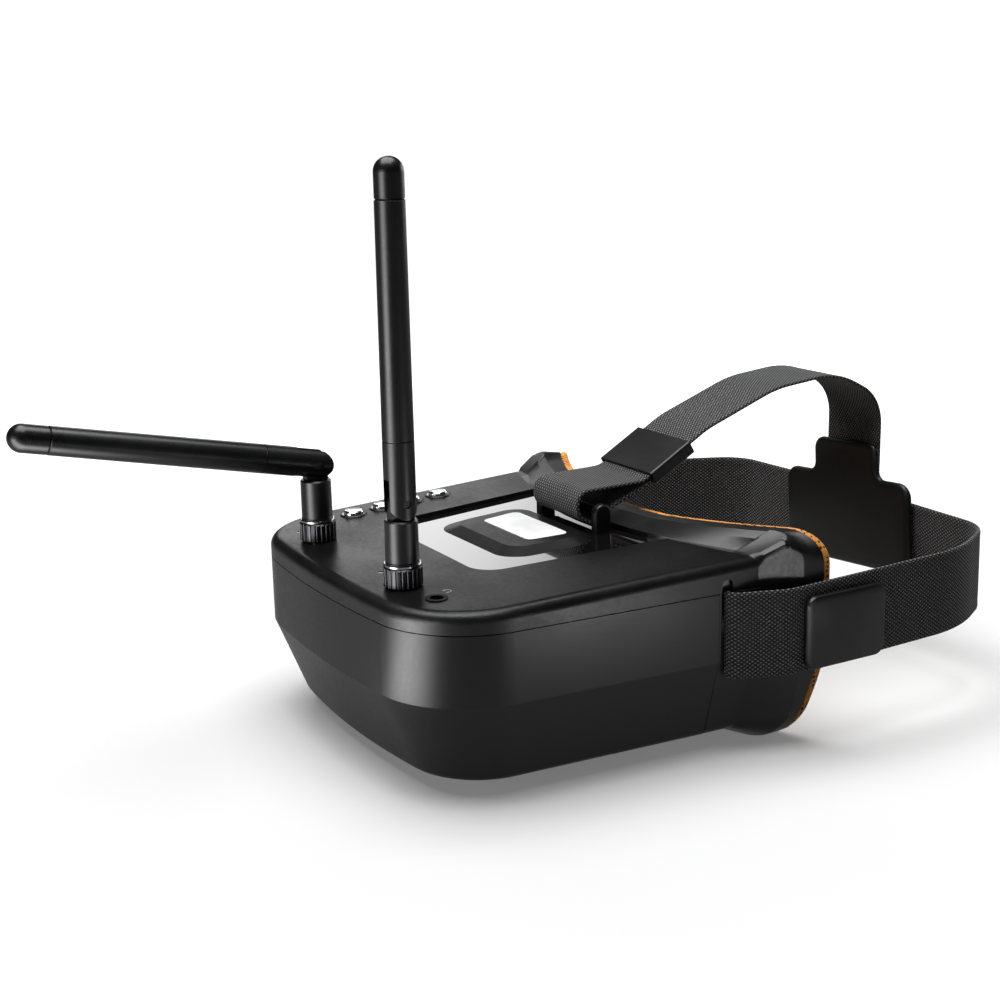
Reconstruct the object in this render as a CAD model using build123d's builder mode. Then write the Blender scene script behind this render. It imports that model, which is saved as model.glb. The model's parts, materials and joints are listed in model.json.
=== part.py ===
from build123d import *
import math
import os

# First-person-view video goggles: a box housing with two folding antennas, a foam-lined face
# shroud and a webbing head harness. Millimetres, +Z up, the wearer looks along -Y.
# Everything is modelled about the housing (x 0 on the symmetry plane, z 0 on its underside)
# and moved by FRAME_SHIFT when it is written, so the origin is under the middle of the object.

# ---- driving dimensions: housing -------------------------------------------------------------
WALL = 2.2
FRONT_Y = -34.6            # front face at the middle
FRONT_SAG = 5.2            # how far the front bows back at its sides
FRONT_HALF = 56.8          # half width at the front
SIDE_FLARE = 0.058         # half width gained per mm towards the face
CORNER_R = 27.0
BREAK_Z = 22.8             # height of the line where the lower taper starts
TAPER_SIDE = 6.3
TAPER_FRONT = 8.6
SEAM_Z = 41.9              # parting line between lower and upper shell
SEAM_GAP = 0.25
TOP_Z = 48.0               # top face height at y = 0, at its sides
TOP_SLOPE = 0.035
TOP_CROWN = 1.1
LIP_R = 3.0
SIDE_SEAM_Y = 52.5         # parting line between lower shell and face shroud

# ---- face shroud and foam --------------------------------------------------------------------
RIM_Y = 65.0               # rim of the foam at the forehead
RIM_BOW = 0.0050           # the rim curves back round the head, per mm squared of x
RIM_SIDE_Y = 88.8          # rim of the foam at the temples
RIM_ROLL = 0.0055          # the sides curve forward above and below RIM_ROLL_Z
RIM_ROLL_Z = 40.0
CREASE_Y = 50.5            # where the shroud meets the top face
CREASE_BOW = 0.0037
BAND = 8.0                 # width of the straight band next to the foam
FOAM_T = 2.6
FOAM_W = 11.0
LAND_T = 2.4
SLOT_Y = (53.4, 56.8)
SLOT_MID_Y = (SLOT_Y[0] + SLOT_Y[1]) / 2
SLOT_Z = (15.4, 45.4)

# ---- antennas --------------------------------------------------------------------------------
ANT_X = 26.8
ANT_Y = -22.15
ANT_BASE_Z = 48.15
ANT_PIVOT = 22.2           # hinge pin height above the top face
ANT_LENGTH = 108.0
FAR_FOLD = 78.0            # how far the folded antenna leans forward at rest
NUT_H = 5.4
NUT_R = 5.15
BARREL_R = 4.35
SLEEVE_R = 4.1
TIP_R = 3.8
SEAM_H = 38.0              # sleeve to mast joint
TIP_H = 10.3
TONGUE_T = 3.0
PIN_R = 1.0

# ---- buttons and sockets ---------------------------------------------------------------------
BUTTON_Y0 = -2.2
BUTTON_PITCH = 10.2
BUTTON_X0 = -45.8
BUTTON_DX = -1.2
BUTTON_R = 2.9
BUTTON_TRAVEL = 0.5
JACK_X = 40.2
JACK_Y = -19.6
JACK_R = 1.78

# ---- harness ---------------------------------------------------------------------------------
BAR_Y = 46.6               # bracket bar that the top strap loops round
BAR_Z = 54.7
BAR_R = 1.4
LUG_X = 14.9               # middle of each bracket lug
LUG_T = 3.0
LUG_W = 5.2
LUG_FOOT_Z = 45.6
WEB_T = 1.2
WEB_W = 24.0
STRAP_Z = 18.2             # lower edge of the side straps at the slots
STRAP_TILT = 1.1           # degrees that the side straps rise towards the back
SLIDER_FROM = (66.14, 61.55)
SLIDER_TO = (79.64, 69.25)

CENTRE_Y = 25.334          # middle of the whole object from front to back
GROUND_Z = -4.5            # lowest point, at the cheeks of the shroud
FRAME_SHIFT = Location((0, -CENTRE_Y, -GROUND_Z))


def save(builder, name):
    """Moves a finished sub-part into the object's frame and writes it under its own name."""
    part = builder.part.moved(FRAME_SHIFT)
    part.label = name
    export_step(part, "parts/" + name + ".step")


# ---- shared shapes ---------------------------------------------------------------------------
def half_width(y):
    """Half width of the housing at y."""
    return FRONT_HALF + SIDE_FLARE * (y - FRONT_Y)


def top_height(x, y):
    """Height of the crowned top face."""
    return TOP_Z + TOP_SLOPE * y + TOP_CROWN * (1 - (x / 58.0) ** 2)


def plan(side, front, rear_y, corner, z):
    """Housing outline from above at height z, pulled in by side and front."""
    front_y = FRONT_Y + front
    front_half = half_width(front_y) - side
    rear_half = half_width(rear_y) - side
    with BuildSketch(Plane.XY.offset(z)) as outline_sketch:
        with BuildLine():
            Line((front_half, front_y + FRONT_SAG), (rear_half, rear_y))
            Line((rear_half, rear_y), (-rear_half, rear_y))
            Line((-rear_half, rear_y), (-front_half, front_y + FRONT_SAG))
            ThreePointArc(
                (-front_half, front_y + FRONT_SAG), (0, front_y), (front_half, front_y + FRONT_SAG)
            )
        make_face()
        fillet(outline_sketch.vertices().group_by(Axis.Y)[0], corner)
    return outline_sketch.sketch


def housing_block(floor_z, wall, rear_y):
    """Tapered foot and upright walls of the housing, from floor_z to the seam."""
    taper = 1 - floor_z / BREAK_Z
    foot = plan(wall + TAPER_SIDE * taper, wall + TAPER_FRONT * taper, rear_y, CORNER_R - 6, floor_z)
    waist = plan(wall, wall, rear_y, CORNER_R - wall, BREAK_Z)
    with BuildPart() as block:
        loft([foot.face(), waist.face()])
        extrude(waist, amount=SEAM_Z - SEAM_GAP - BREAK_Z)
    return block.part


def crown_block(drop):
    """Everything under the crowned, sloping top face lowered by drop."""
    slope = math.atan(TOP_SLOPE)
    y0 = -60.0
    face_plane = Plane(
        origin=(0, y0, TOP_Z + TOP_SLOPE * y0 - drop),
        x_dir=(1, 0, 0),
        z_dir=(0, -math.cos(slope), -math.sin(slope)),
    )
    edge_drop = TOP_CROWN * (1 - (80 / 58.0) ** 2)
    with BuildPart() as block:
        with BuildSketch(face_plane):
            with BuildLine():
                ThreePointArc((-80, edge_drop), (0, TOP_CROWN), (80, edge_drop))
                Polyline((80, edge_drop), (80, -30), (-80, -30), (-80, edge_drop))
            make_face()
        extrude(amount=-170)
    return block.part


def section_plane(y):
    """Upright plane across the housing at y, seen from the front."""
    return Plane(origin=(0, y, 0), x_dir=(1, 0, 0), z_dir=(0, -1, 0))


def section(half, inset, y):
    """Closed symmetric section from its right half (x, z, corner radius), pulled in by inset."""
    corners = half + [(-x, z, r) for x, z, r in reversed(half)]
    with BuildSketch(section_plane(y)) as section_sketch:
        with BuildLine():
            Polyline(*[(x, z) for x, z, _ in corners], close=True)
        make_face()
        for x, z, r in corners:
            fillet(section_sketch.vertices().sort_by_distance((x, z, 0))[0], r)
        if inset:
            offset(amount=-inset)
    return section_sketch.sketch


def behind_bow(apex_y, bow):
    """Everything behind an upright wall that bows back on both sides of the middle."""
    side_y = apex_y + bow * 80**2
    with BuildPart() as cut:
        with BuildSketch(Plane.XY.offset(-20)):
            with BuildLine():
                Bezier((-80, side_y), (0, 2 * apex_y - side_y), (80, side_y))
                Polyline((80, side_y), (80, 220), (-80, 220), (-80, side_y))
            make_face()
        extrude(amount=120)
    return cut.part


def behind_roll(apex_y, roll, apex_z):
    """Everything behind a wall that curves forward above and below apex_z."""
    end_y = apex_y - roll * 60**2
    with BuildPart() as cut:
        with BuildSketch(Plane.YZ.offset(-90)):
            with BuildLine():
                Bezier((end_y, apex_z - 60), (2 * apex_y - end_y, apex_z), (end_y, apex_z + 60))
                Polyline((end_y, apex_z + 60), (220, apex_z + 60), (220, apex_z - 60), (end_y, apex_z - 60))
            make_face()
        extrude(amount=180)
    return cut.part


# right halves of the cross-sections: x, z and corner radius of each point
BODY_HALF = [(62.4, 50.2, 3.0), (62.4, 22.8, 12.0), (56.2, 0.0, 3.0)]
THROAT_HALF = BODY_HALF + [(31.0, 0.0, 6.0), (15.0, 24.5, 8.0)]
RIM_HALF = [
    (20.0, 52.7, 60.0),
    (66.5, 55.4, 9.0),
    (66.5, 22.0, 30.0),
    (63.0, -4.5, 13.0),
    (27.0, -4.5, 8.0),
    (12.0, 21.0, 8.0),
]


os.makedirs("parts", exist_ok=True)

# ---- lower shell -----------------------------------------------------------------------------
BOSS_R = 3.2
BOSS_SPOTS = [(-44, -14), (44, -14), (-50, 44), (50, 44)]
PORT_Y = 6.0
PORT_Z = 32.0

shell_outside = housing_block(0, 0, SIDE_SEAM_Y)
shell_inside = housing_block(WALL, WALL, SIDE_SEAM_Y + 1)

with BuildPart() as lower_shell:
    add(shell_outside)
    fillet(lower_shell.edges().group_by(Axis.Z)[0].sort_by(Axis.Y)[:-1], 2.4)
    add(shell_inside, mode=Mode.SUBTRACT)
    with BuildSketch(Plane.XY.offset(WALL - 0.2)):
        with Locations(*BOSS_SPOTS):
            Circle(BOSS_R)
    extrude(amount=SEAM_Z - SEAM_GAP - 4)
    with BuildSketch(Plane.XY.offset(-1)):
        with Locations(*BOSS_SPOTS):
            Circle(1.3)
    extrude(amount=SEAM_Z, mode=Mode.SUBTRACT)
    with BuildSketch(Plane.XY.offset(-1)):
        with Locations(*BOSS_SPOTS):
            Circle(2.6)
    extrude(amount=4, mode=Mode.SUBTRACT)
    with BuildSketch(Plane.YZ.offset(-70)):
        with Locations((PORT_Y, PORT_Z)):
            RectangleRounded(9.4, 3.6, 1.6)
    extrude(amount=20, mode=Mode.SUBTRACT)
save(lower_shell, "lower_shell")

# ---- upper shell -----------------------------------------------------------------------------
BUTTON_HOLE_R = 3.5
JACK_BODY_R = 3.0
LIGHT_R = 0.9
LIGHT_SPOTS = [(13.2, -21.9), (-38.5, -23.2)]
SCREW_R = 1.2
BOSS_TOP = SEAM_Z - SEAM_GAP - 2.0
SOCKET_R = 3.1             # hole for an antenna connector
MOAT_DEPTH = 0.6           # moat floor below the sloping top plane
PLATEAU_RISE = 1.0


def top_plane(rise, y=0.0):
    """Plane parallel to the sloping top face, raised by rise, with its origin at y."""
    return Plane(
        origin=(0, y, TOP_Z + TOP_SLOPE * y + rise),
        x_dir=(1, 0, 0),
        z_dir=(0, -TOP_SLOPE, 1),
    )


def button_spot(i):
    """x and y of a button on the top face."""
    return BUTTON_X0 + BUTTON_DX * i, BUTTON_Y0 + BUTTON_PITCH * i


def slot_cut():
    """Upright slots through both sides for the side straps."""
    with BuildPart() as cut:
        for low, high in ((-80, -57.8), (57.8, 80)):
            with BuildSketch(Plane.YZ.offset(low)):
                with Locations((SLOT_MID_Y, (SLOT_Z[0] + SLOT_Z[1]) / 2)):
                    RectangleRounded(SLOT_Y[1] - SLOT_Y[0], SLOT_Z[1] - SLOT_Z[0], 1.5)
            extrude(amount=high - low)
    return cut.part


strap_slots = slot_cut()
lid_outline = plan(0, 0, 80, CORNER_R, SEAM_Z)
lid_inner = plan(WALL, WALL, 81, CORNER_R - WALL, SEAM_Z - 1)
crown_outside = crown_block(0)
crown_inside = crown_block(WALL)
lid_cut = behind_bow(CREASE_Y - 0.15, CREASE_BOW)

with BuildPart() as lid_cavity:
    extrude(lid_inner, amount=20)
    add(crown_inside, mode=Mode.INTERSECT)

with BuildPart() as upper_shell:
    extrude(lid_outline, amount=20)
    add(crown_outside, mode=Mode.INTERSECT)
    fillet(upper_shell.faces().sort_by(Axis.Z)[-1].edges().sort_by(Axis.Y)[:-1], LIP_R)
    add(lid_cavity.part, mode=Mode.SUBTRACT)
    # moat round the plateau, open towards the strap bracket
    with BuildSketch(top_plane(-MOAT_DEPTH)) as moat:
        with BuildLine():
            Polyline((-30, -1.2), (30, -1.2), (35.5, 60), (-35.5, 60), (-30, -1.2))
        make_face()
        fillet(moat.vertices().group_by(Axis.Y)[0], 8)
    extrude(amount=6, mode=Mode.SUBTRACT)
    # plateau in the middle of the moat
    with BuildSketch(top_plane(-MOAT_DEPTH - 0.4)) as plateau_foot:
        with Locations((0, 27)):
            Trapezoid(46, 32, 88, rotation=180)
        fillet(plateau_foot.vertices(), 8)
    with BuildSketch(top_plane(PLATEAU_RISE)) as plateau_top:
        with Locations((0, 28.2)):
            Trapezoid(37, 23.5, 86, rotation=180)
        fillet(plateau_top.vertices(), 6)
    loft()
    # label seat, button wells, antenna, socket and light-pipe holes
    with BuildSketch(top_plane(PLATEAU_RISE)) as label_seat:
        with Locations((0, 30)):
            Trapezoid(29.4, 12.8, 82, rotation=180)
        fillet(label_seat.vertices(), 2.2)
    extrude(amount=-0.5, mode=Mode.SUBTRACT)
    with BuildSketch(Plane.XY.offset(SEAM_Z)):
        with Locations(*[button_spot(i) for i in range(4)]):
            Circle(BUTTON_HOLE_R)
        with Locations((ANT_X, ANT_Y), (-ANT_X, ANT_Y)):
            Circle(SOCKET_R)
        with Locations((JACK_X, JACK_Y)):
            Circle(JACK_BODY_R)
        with Locations(*LIGHT_SPOTS):
            Circle(LIGHT_R)
        with Locations((LUG_X, BAR_Y), (-LUG_X, BAR_Y)):
            Rectangle(LUG_T + 0.1, LUG_W + 0.1)
    extrude(amount=20, mode=Mode.SUBTRACT)
    # posts that the lower shell's screws bite into
    for x, y in BOSS_SPOTS:
        with BuildSketch(Plane.XY.offset(BOSS_TOP)):
            with Locations((x, y)):
                Circle(BOSS_R)
                Circle(SCREW_R + 0.03, mode=Mode.SUBTRACT)
        extrude(amount=top_height(x, y) - 1.0 - BOSS_TOP)
    add(lid_cut, mode=Mode.SUBTRACT)
    add(strap_slots, mode=Mode.SUBTRACT)
save(upper_shell, "upper_shell")

# ---- face shroud -----------------------------------------------------------------------------
PLATE_T = 2.4              # plate that closes the housing round the throat

shroud_front = CREASE_Y - 1
throat_section = section(THROAT_HALF, WALL, shroud_front - 1)
body_section = section(BODY_HALF, 0, shroud_front)
plate_section = section(BODY_HALF, 0, SIDE_SEAM_Y + 0.2)
rim_section = section(RIM_HALF, 0, shroud_front)
rim_hollow = section(RIM_HALF, WALL, shroud_front)
eye_section = section(RIM_HALF, FOAM_W, shroud_front)
foam_section = section(RIM_HALF, 0.3, SIDE_SEAM_Y)
foam_opening = section(RIM_HALF, FOAM_W + 0.5, SIDE_SEAM_Y - 1)


def behind_rim(offset):
    """Everything behind the face side of the foam, moved back by offset."""
    with BuildPart() as cut:
        add(behind_bow(RIM_Y + offset, RIM_BOW))
        add(behind_roll(RIM_SIDE_Y + offset, RIM_ROLL, RIM_ROLL_Z))
    return cut.part


head_space = behind_rim(0)
foam_front = behind_rim(-FOAM_T)
land_front = behind_rim(-FOAM_T - LAND_T)
band_front = behind_bow(RIM_Y - FOAM_T - BAND, RIM_BOW)
band_inside = behind_bow(RIM_Y - FOAM_T - BAND + WALL, RIM_BOW)
crease_back = behind_bow(CREASE_Y + 0.15, CREASE_BOW)

with BuildPart() as band_hollow:
    extrude(rim_hollow, amount=-60)
    add(band_inside, mode=Mode.INTERSECT)
    add(land_front, mode=Mode.SUBTRACT)

with BuildPart() as band_block:
    extrude(rim_section, amount=-60)
    add(band_front, mode=Mode.INTERSECT)

with BuildPart() as throat_hollow:
    extrude(throat_section, amount=-60)
    add(land_front, mode=Mode.SUBTRACT)

with BuildPart() as shell_space:
    with BuildSketch(Plane.XY.offset(SEAM_Z)):
        Rectangle(160, 220)
    extrude(amount=30)
    add(crease_back, mode=Mode.SUBTRACT)
    with BuildSketch(Plane.XY.offset(SEAM_Z)):
        with Locations((0, SIDE_SEAM_Y + 0.2 - 60)):
            Rectangle(160, 120)
    extrude(amount=-70)

with BuildPart() as body_sleeve:
    extrude(body_section, amount=-50)
    add(band_front, mode=Mode.SUBTRACT)
    extrude(plate_section, amount=-PLATE_T)

with BuildPart() as face_shroud:
    add(body_sleeve.part)
    add(band_block.part)
    add(shell_space.part, mode=Mode.SUBTRACT)
    add(throat_hollow.part, mode=Mode.SUBTRACT)
    add(band_hollow.part, mode=Mode.SUBTRACT)
    extrude(eye_section, amount=-60, mode=Mode.SUBTRACT)
    add(foam_front, mode=Mode.SUBTRACT)
    add(strap_slots, mode=Mode.SUBTRACT)
save(face_shroud, "face_shroud")

with BuildPart() as face_foam:
    extrude(foam_section, amount=-60)
    extrude(foam_opening, amount=-62, mode=Mode.SUBTRACT)
    add(foam_front, mode=Mode.INTERSECT)
    add(head_space, mode=Mode.SUBTRACT)
save(face_foam, "face_foam")

# ---- label, buttons, light pipes, jack -------------------------------------------------------
with BuildPart() as label_plate:
    with BuildSketch(top_plane(PLATEAU_RISE - 0.5)) as label_outline:
        with Locations((0, 30)):
            Trapezoid(29.2, 12.6, 82, rotation=180)
        fillet(label_outline.vertices(), 2.1)
    extrude(amount=0.6)
save(label_plate, "label_plate")

RING_RISE = 0.35
for i in range(4):
    x, y = button_spot(i)
    rest_z = top_height(x, y)
    with BuildPart() as button_cap:
        with BuildSketch(Plane.XZ):
            with BuildLine():
                Polyline((0, 1.0), (0, -3.2), (1.6, -3.2), (1.6, -1.6), (BUTTON_R, -1.6), (BUTTON_R, 1.1))
                Line((BUTTON_R, 1.1), (BUTTON_R - 0.3, 1.45))
                Spline((BUTTON_R - 0.3, 1.45), (1.4, 1.12), (0, 1.0))
            make_face()
        revolve(axis=Axis.Z)
    with BuildPart() as placed_cap:
        add(button_cap.part.moved(Location((x, y, rest_z))))
    save(placed_cap, "button_cap_" + str(i + 1))

with BuildPart() as button_rings:
    for i in range(4):
        x, y = button_spot(i)
        with BuildSketch(Plane.XY.offset(top_height(x, y) - 1.5)):
            with Locations((x, y)):
                Circle(BUTTON_HOLE_R - 0.05)
                Circle(BUTTON_R + 0.08, mode=Mode.SUBTRACT)
        extrude(amount=1.5 + RING_RISE)
save(button_rings, "button_rings")

BOARD_Z = 40.6             # top of the main board
BOARD_T = 1.2
with BuildPart() as tact_switches:
    for i in range(4):
        x, y = button_spot(i)
        with BuildSketch(Plane.XY.offset(BOARD_Z)):
            with Locations((x, y)):
                RectangleRounded(5.0, 5.0, 0.6)
        extrude(amount=2.0)
        with BuildSketch(Plane.XY.offset(BOARD_Z + 2.0)):
            with Locations((x, y)):
                Circle(1.2)
        extrude(amount=top_height(x, y) - 3.2 - BUTTON_TRAVEL - 0.1 - BOARD_Z - 2.0)
save(tact_switches, "tact_switches")

with BuildPart() as light_pipes:
    for x, y in LIGHT_SPOTS:
        with BuildSketch(Plane.XY.offset(BOARD_Z)):
            with Locations((x, y)):
                Circle(LIGHT_R - 0.03)
        extrude(amount=top_height(x, y) - 0.1 - BOARD_Z)
save(light_pipes, "light_pipes")

jack_top = top_height(JACK_X, JACK_Y) + 0.15
with BuildPart() as headphone_jack:
    with BuildSketch(Plane.XY.offset(BOARD_Z)):
        with Locations((JACK_X, JACK_Y)):
            Circle(JACK_BODY_R - 0.05)
    extrude(amount=jack_top - BOARD_Z)
    with BuildSketch(Plane.XY.offset(BOARD_Z - 7.0)):
        with Locations((JACK_X, JACK_Y)):
            Circle(3.4)
    extrude(amount=7.0 - BOARD_T - 0.05)
    with BuildSketch(Plane.XY.offset(BOARD_Z - BOARD_T - 0.1)):
        with Locations((JACK_X, JACK_Y)):
            Circle(2.9)
    extrude(amount=BOARD_T + 0.2)
    with BuildSketch(Plane.XY.offset(jack_top)):
        with Locations((JACK_X, JACK_Y)):
            Circle(JACK_R)
    extrude(amount=-13.0, mode=Mode.SUBTRACT)
save(headphone_jack, "headphone_jack")

# ---- boards, display, lens and battery -------------------------------------------------------
BOARD_FRONT = -26.0
BOARD_REAR = 36.0
with BuildPart() as main_board:
    with BuildSketch(Plane.XY.offset(BOARD_Z - BOARD_T)):
        with Locations((0, (BOARD_FRONT + BOARD_REAR) / 2)):
            RectangleRounded(106, BOARD_REAR - BOARD_FRONT, 14)
        with Locations(*BOSS_SPOTS):
            Circle(BOSS_R + 0.3, mode=Mode.SUBTRACT)
        with Locations((JACK_X, JACK_Y)):
            Circle(3.05, mode=Mode.SUBTRACT)
    extrude(amount=BOARD_T)
save(main_board, "main_board")

with BuildPart() as receiver_modules:
    for side in (-1, 1):
        with BuildSketch(Plane.XY.offset(BOARD_Z - BOARD_T - 3.6)):
            with Locations((side * 20, 12)):
                RectangleRounded(24, 22, 1.0)
        extrude(amount=3.6)
save(receiver_modules, "receiver_modules")

DISPLAY_Y = -16.0
DISPLAY_Z = 17.7
with BuildPart() as display_panel:
    with BuildSketch(section_plane(DISPLAY_Y)):
        with Locations((0, DISPLAY_Z)):
            RectangleRounded(70, 28.4, 1.0)
    extrude(amount=3.0)
save(display_panel, "display_panel")

with BuildPart() as display_frame:
    with BuildSketch(section_plane(DISPLAY_Y + 2.0)):
        with Locations((0, DISPLAY_Z)):
            RectangleRounded(74, 30, 2.0)
            RectangleRounded(66, 25, 1.0, mode=Mode.SUBTRACT)
    extrude(amount=2.0)
    with BuildSketch(section_plane(DISPLAY_Y)):
        with Locations((0, DISPLAY_Z)):
            RectangleRounded(74, 30, 2.0)
            RectangleRounded(70.2, 28.6, 1.0, mode=Mode.SUBTRACT)
    extrude(amount=3.0)
save(display_frame, "display_frame")

LENS_Y = 30.0
LENS_Z = 24.0
with BuildPart() as lens_frame:
    with BuildSketch(section_plane(LENS_Y + 5)):
        with Locations((0, LENS_Z - 2.0)):
            RectangleRounded(106, 33, 6)
            RectangleRounded(88, 25, 8, mode=Mode.SUBTRACT)
    extrude(amount=6.0)
    with BuildSketch(section_plane(LENS_Y + 3.2)):
        with Locations((0, LENS_Z - 2.0)):
            RectangleRounded(92.2, 29.2, 9)
    extrude(amount=2.4, mode=Mode.SUBTRACT)
save(lens_frame, "lens_frame")

with BuildPart() as viewing_lens:
    with BuildSketch(section_plane(LENS_Y + 3.2)):
        with Locations((0, LENS_Z - 2.0)):
            RectangleRounded(92, 29, 9)
    extrude(amount=2.4)
save(viewing_lens, "viewing_lens")

with BuildPart() as battery_pack:
    with BuildSketch(Plane.XY.offset(WALL + 0.3)):
        with Locations((0, 4.0)):
            RectangleRounded(70, 24, 2.0)
    extrude(amount=8.0)
    fillet(battery_pack.edges().group_by(Axis.Z)[-1], 1.5)
save(battery_pack, "battery_pack")

port_x = -half_width(PORT_Y)
with BuildPart() as charge_port:
    with BuildSketch(Plane.YZ.offset(port_x + 0.6)):
        with Locations((PORT_Y, PORT_Z)):
            RectangleRounded(9.2, 3.4, 1.5)
            RectangleRounded(8.2, 2.4, 1.1, mode=Mode.SUBTRACT)
    extrude(amount=7.0)
    with BuildSketch(Plane.YZ.offset(port_x + 5.6)):
        with Locations((PORT_Y, PORT_Z)):
            RectangleRounded(9.2, 3.4, 1.5)
    extrude(amount=2.0)
    with BuildSketch(Plane.YZ.offset(port_x + 0.6)):
        with Locations((PORT_Y, PORT_Z)):
            Rectangle(6.2, 0.7)
    extrude(amount=5.5)
save(charge_port, "charge_port")

with BuildPart() as case_screws:
    with BuildSketch(Plane.XY.offset(0.6)):
        with Locations(*BOSS_SPOTS):
            Circle(2.3)
    extrude(amount=2.4 - 0.05)
    with BuildSketch(Plane.XY.offset(2.9)):
        with Locations(*BOSS_SPOTS):
            Circle(SCREW_R)
    extrude(amount=BOSS_TOP + 5.0 - 2.9)
    with BuildSketch(Plane.XY.offset(0.6)):
        with Locations(*BOSS_SPOTS):
            Rectangle(2.6, 0.6)
            Rectangle(0.6, 2.6)
    extrude(amount=0.9, mode=Mode.SUBTRACT)
save(case_screws, "case_screws")

# ---- antennas --------------------------------------------------------------------------------
KNURLS = 24


def turned(profile, mode=Mode.ADD):
    """Solid of revolution about Z from (radius, height) points."""
    with BuildPart() as spun:
        with BuildSketch(Plane.XZ):
            with BuildLine():
                Polyline(*profile, close=True)
            make_face()
        revolve(axis=Axis.Z)
    return spun.part


def antenna_parts():
    """The pieces of one upright antenna, standing on z = 0."""
    pieces = {}

    with BuildPart() as connector:
        add(turned([
            (0, -5.5), (4.0, -5.5), (4.0, -2.4), (3.0, -2.4), (3.0, 0.6), (2.4, 0.6), (2.4, 3.6), (0, 3.6),
        ]))
    pieces["connector"] = connector

    with BuildPart() as nut:
        add(turned([
            (3.1, 0.15), (NUT_R - 0.4, 0.15), (NUT_R, 0.5),
            (NUT_R, NUT_H - 0.3), (NUT_R - 0.3, NUT_H), (3.1, NUT_H),
        ]))
        with BuildSketch():
            with PolarLocations(NUT_R + 0.12, KNURLS):
                Circle(0.36)
        extrude(amount=NUT_H + 1, mode=Mode.SUBTRACT)
    pieces["nut"] = nut

    barrel_top = ANT_PIVOT - 4.5
    with BuildPart() as base:
        add(turned([
            (2.5, 0.8), (3.05, 0.8), (3.05, NUT_H + 0.05),
            (BARREL_R + 0.1, NUT_H + 0.05), (BARREL_R + 0.1, NUT_H + 1.2), (BARREL_R, NUT_H + 1.5),
            (BARREL_R - 0.05, barrel_top - 0.4), (BARREL_R - 0.4, barrel_top), (0, barrel_top),
            (0, 3.8), (2.5, 3.8),
        ]))
        with BuildSketch(Plane.YZ.offset(-TONGUE_T / 2)):
            with Locations((0, (ANT_PIVOT + barrel_top) / 2 - 0.5)):
                Rectangle(6.4, ANT_PIVOT - barrel_top + 1.0)
            with Locations((0, ANT_PIVOT)):
                Circle(3.2)
        extrude(amount=TONGUE_T)
        with BuildSketch(Plane.YZ.offset(-TONGUE_T)):
            with Locations((0, ANT_PIVOT)):
                Circle(PIN_R + 0.05)
        extrude(amount=2 * TONGUE_T, mode=Mode.SUBTRACT)
    pieces["base"] = base

    with BuildPart() as pin:
        with BuildSketch(Plane.YZ.offset(-3.6)):
            with Locations((0, ANT_PIVOT)):
                Circle(PIN_R)
        extrude(amount=7.2)
    pieces["pin"] = pin

    with BuildPart() as sleeve:
        with BuildSketch():
            Circle(SLEEVE_R)
        extrude(amount=SEAM_H)
        with BuildSketch(Plane.YZ.offset(-10)):
            with Locations((0, ANT_PIVOT)):
                Circle(SLEEVE_R)
            with Locations((0, ANT_PIVOT + 30)):
                Rectangle(2 * SLEEVE_R, 60)
        extrude(amount=20, mode=Mode.INTERSECT)
        with BuildSketch(Plane.YZ.offset(-TONGUE_T / 2 - 0.12)):
            with Locations((0, ANT_PIVOT - 2.0)):
                Rectangle(20, 16.4)
        extrude(amount=TONGUE_T + 0.24, mode=Mode.SUBTRACT)
        with BuildSketch(Plane.YZ.offset(-10)):
            with Locations((0, ANT_PIVOT)):
                Circle(PIN_R + 0.05)
        extrude(amount=20, mode=Mode.SUBTRACT)
        with BuildSketch(Plane.XY.offset(SEAM_H)):
            Circle(1.6)
        extrude(amount=-6, mode=Mode.SUBTRACT)
    pieces["sleeve"] = sleeve

    tip_base = ANT_LENGTH - TIP_H
    with BuildPart() as mast:
        add(turned([
            (1.6, SEAM_H + 0.05), (SLEEVE_R - 0.15, SEAM_H + 0.05), (SLEEVE_R, SEAM_H + 0.4),
            (TIP_R + 0.05, tip_base - 0.3), (TIP_R - 0.25, tip_base - 0.05), (1.6, tip_base - 0.05),
        ]))
    pieces["mast"] = mast

    with BuildPart() as tip:
        with BuildSketch(Plane.XZ):
            with BuildLine():
                Polyline((0, tip_base), (TIP_R - 0.25, tip_base), (TIP_R, tip_base + 0.3))
                Line((TIP_R, tip_base + 0.3), (TIP_R, ANT_LENGTH - TIP_R))
                RadiusArc((TIP_R, ANT_LENGTH - TIP_R), (0, ANT_LENGTH), -TIP_R)
                Line((0, ANT_LENGTH), (0, tip_base))
            make_face()
        revolve(axis=Axis.Z)
    pieces["tip"] = tip

    with BuildPart() as element:
        with BuildSketch(Plane.XY.offset(SEAM_H - 5.5)):
            Circle(1.5)
        extrude(amount=tip_base - 1.0 - SEAM_H + 5.5)
    pieces["element"] = element
    return pieces


LEANING = ("sleeve", "mast", "tip", "element")
for name, x, fold in (("left", ANT_X, 0.0), ("right", -ANT_X, FAR_FOLD)):
    stand = Location((x, ANT_Y, ANT_BASE_Z))
    lean = Location((0, 0, ANT_PIVOT)) * Location((0, 0, 0), (fold, 0, 0)) * Location((0, 0, -ANT_PIVOT))
    for piece_name, piece in antenna_parts().items():
        place = stand * lean if piece_name in LEANING else stand
        with BuildPart() as placed_piece:
            add(piece.part.moved(place))
        save(placed_piece, name + "_antenna_" + piece_name)

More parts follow.
